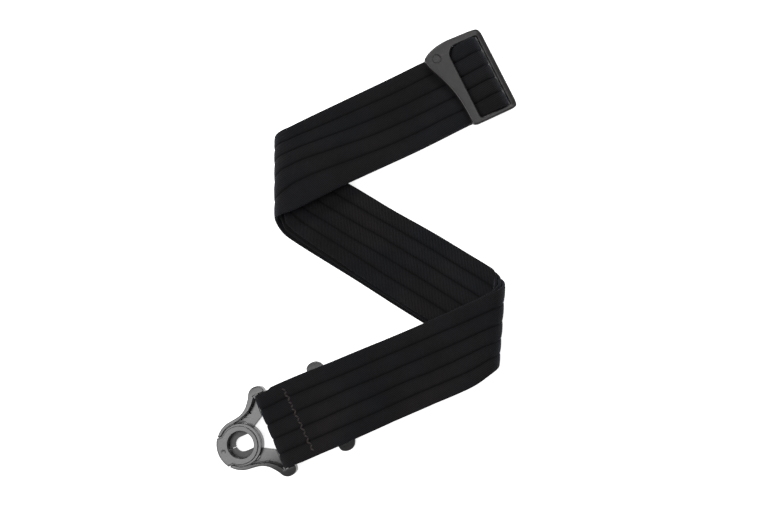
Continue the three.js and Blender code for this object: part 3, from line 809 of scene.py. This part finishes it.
lock = {
    "headRadius": 16.8,
    "windowSide": 14.0,
    "bore": 8.8,
    "rimTop": 7.6,
    "deckTop": 6.0,
    "deckBottom": 4.6,
    "webTop": 4.0,
    "barAcross": 25.0,
    "barLift": 5.0,
    "barRadius": 2.2,
    "slotStart": 19.8,
    "slotHalf": 26.2,
    "capRadius": 13.9,
    "capTop": 8.8,
    "tabHalf": 10.0,
    "gap": 0.3,
    "tilt": {"lock_a": 9.9, "lock_b": 0.0},    # degrees, as each lock lies at rest
    "capStep": 0.8,            # the cap's lower ring stands this much beneath its upper one
    "capInset": 1.1,
    "capShift": -0.9,          # the upper ring sits off centre, towards the tab
    "jawRoom": (8.3, 14.9),            # half its width and half its length
    "plateSeat": (13.7, 1.7),          # radius and depth
    "springPocket": (-15.9, -9.4, 1.7),        # from, to and half its width
    "studSlot": (11.75, 1.1, 2.4),     # place, half its width and half its length
    "screws": (10.8, 5.2, 1.1),        # place and hole radius
    "springLug": (-15.6, -14.7, 1.2),
    "seamStep": (-0.35, 0.75),         # from the rim's edge over the dark line beside it
    "dimple": (-12.75, 0.0, 2.1),
    "dimpleBall": 7.0,         # radius of the ball that leaves the thumb cap's dimple
    "armFall": {"start": 10.4, "curve": 0.0062, "foot": 1.6, "full": 3.6, "step": 1.8, "steps": 11},
}
armOuter = [(-0.7, 16.8), (6.2, 17.8), (11.3, 20.5), (15.4, 25.4), (17.6, 29.4), (20.6, 31.3), (24.4, 31.2),
            (27.2, 29.4), (28.1, 26.2)]
rimSeam = [(0.6, 14.2), (5.3, 14.9), (12.3, 17.3), (16.8, 20.7), (19.8, 24.4)]


def lockPlace(jointName, tilt):
    # from the lock's own axes, in metres, to the frame
    joint = joints[jointName]
    across = Vector(joint["axis"]).normalized() * (1 if jointName == "lock_a_swing" else -1)
    level = Matrix.Rotation(math.atan2(-across.x, across.y), 4, "Z")
    turn = level @ Euler((0, -math.radians(tilt), 0)).to_matrix().to_4x4()
    back = Matrix.Translation((-lock["barAcross"] * mm, 0, -lock["barLift"] * mm))
    return Matrix.Translation(joint["pos_m"]) @ turn @ back


def buildFrame():
    arm = splineThrough(armOuter)
    head = arcPoints(lock["headRadius"], 98, 262, 48)
    windowEdge = arcPoints(lock["windowSide"], -33, 33, 18)
    upper = [(lock["slotStart"], 12.0), (lock["slotStart"], lock["slotHalf"])] + list(reversed(arm))
    base = plate([windowEdge + upper + head + mirrorY(upper), circle(lock["bore"])], 0, lock["webTop"], 0.35)

    # the raised rim runs from the tab round the head, along the arm and over the knob
    rimHead = arcPoints(lock["headRadius"], 98, 142, 14)
    rimInner = arcPoints(lock["capRadius"] + lock["gap"] + 0.1, 134, 90, 12)
    seam = splineThrough(rimSeam)
    rim = [rimSeam[-1], (lock["slotStart"], lock["slotHalf"])] + list(reversed(arm))
    rim += rimHead + rimInner + seam[:-1]
    upperRim = plate([rim], 0.4, lock["rimTop"], 0.6)
    lowerRim = plate([mirrorY(rim)], 0.4, lock["rimTop"], 0.6)
    deck = plate([circle(lock["windowSide"]), circle(lock["bore"])], 2.0, lock["deckTop"], 0.3)
    joined = combine(base, [upperRim, lowerRim, deck], "UNION")
    barHalf = lock["slotHalf"] + 1.2
    bar = rod(lock["barRadius"], (lock["barAcross"], -barHalf, lock["barLift"]),
              (lock["barAcross"], barHalf, lock["barLift"]))
    joined = combine(joined, [bar], "UNION")

    # room inside: jaws slide out across the bore, the back plate sits flush, the spring lies in its pocket
    jawX, jawY = lock["jawRoom"]
    jawRoom = cutter(roundCorners(rectangle(-jawX, jawX, -jawY, jawY), 4.2), 1.0, lock["deckBottom"])
    seatRadius, seatDepth = lock["plateSeat"]
    plateSeat = cutter(circle(seatRadius), -1.0, seatDepth)
    start, end, half = lock["springPocket"]
    pocket = cutter(roundCorners(rectangle(start, end, -half, half), 0.4), 2.6, 7.0)
    place, half, reach = lock["studSlot"]
    slots = [cutter(roundCorners(rectangle(-half, half, y - reach, y + reach), 1.0), 4.0, 7.0)
             for y in (-place, place)]
    screwX, screwY, screwHole = lock["screws"]
    holes = [cutter(circle(screwHole, x, y, 20), 1.0, 4.7, 0.02)
             for x in (-screwX, screwX) for y in (-screwY, screwY)]
    tabRoomHalf = lock["tabHalf"] + lock["gap"]
    tabRoom = cutter(rectangle(-18, -2, -tabRoomHalf, tabRoomHalf), lock["deckTop"], 12, 0.02)

    # the dark line between the raised rim and what lies inside it
    stepX, stepY = lock["seamStep"]
    seamOutline = seam + [(x + stepX, y + stepY) for x, y in reversed(seam)]
    headSeam = arcPoints(lock["capRadius"] + 0.1, 88, 143, 14)
    headSeam += arcPoints(lock["capRadius"] + 0.95, 143, 88, 14)
    seams = [cutter(outline, low, 12, 0.02) for outline, low in (
        (seamOutline, 2.2), (mirrorY(seamOutline), 2.2), (headSeam, 4.9), (mirrorY(headSeam), 4.9))]
    shell = combine(joined, [jawRoom, plateSeat, pocket, *slots, *holes, tabRoom, *seams], "DIFFERENCE")

    # the arms curve down towards their knobs
    work = bmesh.new()
    work.from_mesh(shell.data)
    fall = lock["armFall"]
    cuts = [fall["start"] + fall["step"] * i for i in range(fall["steps"])]
    for cut in cuts + [-cut for cut in cuts]:
        everything = list(work.verts) + list(work.edges) + list(work.faces)
        bmesh.ops.bisect_plane(work, geom=everything, plane_co=(0, cut, 0), plane_no=(0, 1, 0))
    for vertex in work.verts:
        beyond = abs(vertex.co.y) - fall["start"]
        if beyond > 0 and vertex.co.z > fall["foot"]:
            share = min(1.0, (vertex.co.z - fall["foot"]) / (fall["full"] - fall["foot"]))
            vertex.co.z -= fall["curve"] * beyond ** 2 * share
    work.to_mesh(shell.data)
    work.free()
    return shell


def buildCap():
    # the release slide: a collar round the bore and a thumb tab, stepped down round its bar side
    half = lock["tabHalf"]
    reachAngle = math.degrees(math.asin(half / lock["headRadius"]))
    tabEdge = arcPoints(lock["headRadius"], 180 - reachAngle, 180 + reachAngle, 16)
    ringAngle = math.degrees(math.asin(half / lock["capRadius"]))
    ring = arcPoints(lock["capRadius"], -180 + ringAngle, 180 - ringAngle, 60)
    lowTop = lock["capTop"] - lock["capStep"]
    lower = plate([ring + tabEdge, circle(lock["bore"])], lock["deckTop"] + lock["gap"], lowTop, 0.3)
    innerHalf = half - 0.7
    radius = lock["capRadius"] - lock["capInset"]
    innerAngle = math.degrees(math.asin(innerHalf / radius))
    upperRing = arcPoints(radius, -180 + innerAngle, 180 - innerAngle, 60, lock["capShift"])
    outerAngle = math.degrees(math.asin(innerHalf / (lock["headRadius"] - 0.6)))
    upperTab = arcPoints(lock["headRadius"] - 0.6, 180 - outerAngle, 180 + outerAngle, 16)
    upper = plate([upperRing + upperTab, circle(lock["bore"] + 0.1)], lowTop - 0.7, lock["capTop"], 0.55, 4)
    cap = combine(lower, [upper], "UNION")
    x, y, radius = lock["dimple"]
    ball = bmesh.new()
    bmesh.ops.create_uvsphere(ball, u_segments=32, v_segments=16, radius=lock["dimpleBall"])
    data = bpy.data.meshes.new("ball")
    ball.to_mesh(data)
    ball.free()
    lift = math.sqrt(lock["dimpleBall"] ** 2 - radius ** 2)
    data.transform(Matrix.Translation((x, y, lock["capTop"] + lift)))
    dimple = collectionLink(bpy.data.objects.new("ball", data))
    slots = []
    for side in (1, -1):
        # slanting slots underneath, which drive the jaws' studs
        turn = Matrix.Rotation(math.radians(135 * side), 2)
        corners = [Vector(corner) for corner in rectangle(-1.1, 5.9, -1.1, 1.1)]
        slot = [tuple(turn @ corner + Vector((0, 10.4 * side))) for corner in corners]
        slots.append(cutter(slot, 6.0, 7.6, 0.02))
    cap = combine(cap, [dimple, *slots], "DIFFERENCE")
    start, end, half = lock["springLug"]
    lug = cutter(roundCorners(rectangle(start, end, -half, half), 0.2), 3.4, 6.6, 0.1)
    return combine(cap, [lug], "UNION")


for lockName, tilt in lock["tilt"].items():
    place = lockPlace(lockName + "_swing", tilt)
    finishPiece(buildFrame(), lockName + "_shell", lockGrey, place, lockName, [lockName + "_frame"])
    finishPiece(buildCap(), lockName + "_thumb_cap", lockGrey, place, lockName + "_slide",
                [lockName + "_release_slide"])
print("locks moulded")


# the slider
# Its own axes: origin on the centre bar, +x towards the narrow bar, +z out of the face.

slider = {
    "low": 0.8,
    "high": 4.2,
    "barRadius": 1.8,
    "tilt": 12.0,
    "dimple": (-24.2, 22.1, 3.3),
    "lip": (8.15, 8.95, -2.2, 2.2),    # beside the loop, from and to, low and high
    "fall": (8.2, 2.2, 0.22),          # narrow rail: from here out, above this height, this steeply
}
sliderOutline = [
    (8.4, -28.9), (12.0, -27.9), (12.0, 29.6), (6.0, 30.6), (-14.0, 31.2), (-22.0, 30.0), (-28.6, 27.6),
    (-32.4, 24.6), (-31.4, 19.0), (-28.4, 12.0), (-25.0, 3.0), (-22.8, -6.0), (-21.8, -16.0),
    (-21.6, -24.0), (-21.4, -28.9),
]
sliderCorners = [1.0, 5.0, 5.0, 3.0, 5.0, 5.0, 4.0, 4.0, 5.0, 6.0, 6.0, 6.0, 5.0, 3.0, 4.5]
sliderWindow = [(-14.8, -25.55), (7.9, -25.55), (7.9, 25.55), (-10.9, 25.55), (-14.8, 21.4)]


def buildSlider():
    outline = roundCorners(sliderOutline, sliderCorners, 6)
    window = roundCorners(sliderWindow, [1.6, 1.6, 1.6, 2.4, 2.4], 5)
    body = plate([outline, window], slider["low"], slider["high"], 1.05, 5)
    ends = [plate([roundCorners(rectangle(-2, 2, a, b), 0.6)], -slider["barRadius"], 1.6, 0.3)
            for a, b in ((-28.0, -25.6), (25.6, 28.7))]
    bar = rod(slider["barRadius"], (0, -27.2, 0), (0, 27.8, 0))
    body = combine(body, [*ends, bar], "UNION")
    lipFrom, lipTo, lipLow, lipHigh = slider["lip"]
    lip = plate([rectangle(lipFrom, lipTo, -26.5, 26.5)], lipLow, lipHigh, 0.2)
    body = combine(body, [lip], "UNION")
    x, y, radius = slider["dimple"]
    well = plate([circle(radius, x, y, 40), circle(radius - 0.9, x, y, 40)], slider["high"] - 0.6,
                 slider["high"] + 2, 0.15, 2)
    hollow = plate([circle(radius - 0.6, x, y, 40)], slider["high"] - 0.25, slider["high"] + 2, 0.1, 2)
    body = combine(body, [well, hollow], "DIFFERENCE")

    # the narrow bar's face falls away outwards
    work = bmesh.new()
    work.from_mesh(body.data)
    start, foot, slope = slider["fall"]
    everything = list(work.verts) + list(work.edges) + list(work.faces)
    bmesh.ops.bisect_plane(work, geom=everything, plane_co=(start, 0, 0), plane_no=(1, 0, 0))
    for vertex in work.verts:
        if vertex.co.x > start and vertex.co.z > foot:
            share = (vertex.co.z - foot) / (slider["high"] - foot)
            vertex.co.z -= slope * (vertex.co.x - start) * share
    work.to_mesh(body.data)
    work.free()
    return body


sliderJoint = joints["slider_tilt"]
sliderAcross = Vector(sliderJoint["axis"]).normalized()
sliderTurn = Matrix.Rotation(math.atan2(-sliderAcross.x, sliderAcross.y), 4, "Z")
sliderTurn = sliderTurn @ Euler((0, math.radians(slider["tilt"]), 0)).to_matrix().to_4x4()
sliderPlace = Matrix.Translation(sliderJoint["pos_m"]) @ sliderTurn
finishPiece(buildSlider(), "tri_glide_slider", sliderGrey, sliderPlace, "slider", ["slider_frame"])
print("slider moulded")


# pieces kept from the frame
keptFinishes = {"back_plate": innerDark, "jaw_left": innerDark, "jaw_right": innerDark,
                "return_spring": springWire, "screw": zincPlate}
for nodeName, piece in frame["nodes"].items():
    for ending, material in keptFinishes.items():
        if ending in nodeName:
            for materialSlot in piece.material_slots:
                materialSlot.link = "OBJECT"
                materialSlot.material = material
print("inner pieces finished")


# studio
studio = {
    "cameraLean": (0.045, -0.075),     # how far the camera stands off upright, per metre
    "distance": 1.0,
    "lens": 71.1,
    "shiftX": 0.0169,
    "shiftY": -0.0019,
    "floor": (0.85, 0.85, 0.85),
    "floorGlow": 0.84,
    "skyStrength": 0.22,
    "lamps": (                 # place, size and watts
        ("leftSoftbox", (-0.78, -0.12, 1.40), (1.2, 1.1), 20),
        ("backSoftbox", (-0.25, 1.40, 1.10), (0.9, 0.4), 17),
        ("rightFill", (0.95, 0.75, 1.5), (0.7, 0.7), 5.4),
    ),
}


def areaLight(name, place, size, power):
    data = bpy.data.lights.new(name, "AREA")
    data.shape = "RECTANGLE"
    data.size, data.size_y = size
    data.energy = power
    light = collectionLink(bpy.data.objects.new(name, data))
    light.location = place
    light.rotation_euler = (-Vector(place)).to_track_quat("-Z", "Y").to_euler()
    return light


for lamp in studio["lamps"]:
    areaLight(*lamp)

floorMesh = bmesh.new()
bmesh.ops.create_grid(floorMesh, x_segments=1, y_segments=1, size=3)
floorData = bpy.data.meshes.new("studio_floor")
floorMesh.to_mesh(floorData)
floorMesh.free()
floorPiece = collectionLink(bpy.data.objects.new("studio_floor", floorData))
floorMaterial, _, floorShader = nodeMaterial("paleFloor")
floorShader.inputs["Base Color"].default_value = (*studio["floor"], 1)
floorShader.inputs["Roughness"].default_value = 0.9
floorShader.inputs["Specular IOR Level"].default_value = 0.1
floorShader.inputs["Emission Color"].default_value = (1, 1, 1, 1)
floorShader.inputs["Emission Strength"].default_value = studio["floorGlow"]
floorData.materials.append(floorMaterial)

world = bpy.data.worlds.new("studio")
world.use_nodes = True
world.node_tree.nodes["Background"].inputs["Color"].default_value = (1, 1, 1, 1)
world.node_tree.nodes["Background"].inputs["Strength"].default_value = studio["skyStrength"]
bpy.context.scene.world = world
bpy.context.scene.view_settings.view_transform = "Standard"

cameraData = bpy.data.cameras.new("camera")
cameraData.lens = studio["lens"]
cameraData.sensor_width = 36
cameraData.shift_x = studio["shiftX"]
cameraData.shift_y = studio["shiftY"]
camera = collectionLink(bpy.data.objects.new("camera", cameraData))
leanX, leanY = studio["cameraLean"]
stand = Vector((leanX, leanY, math.sqrt(1 - leanX ** 2 - leanY ** 2)))
right = Vector((0, 1, 0)).cross(stand).normalized()
upward = stand.cross(right)
facing = Matrix((right, upward, stand)).transposed().to_4x4()
camera.matrix_world = Matrix.Translation(stand * studio["distance"]) @ facing
bpy.context.scene.camera = camera
print("studio set")
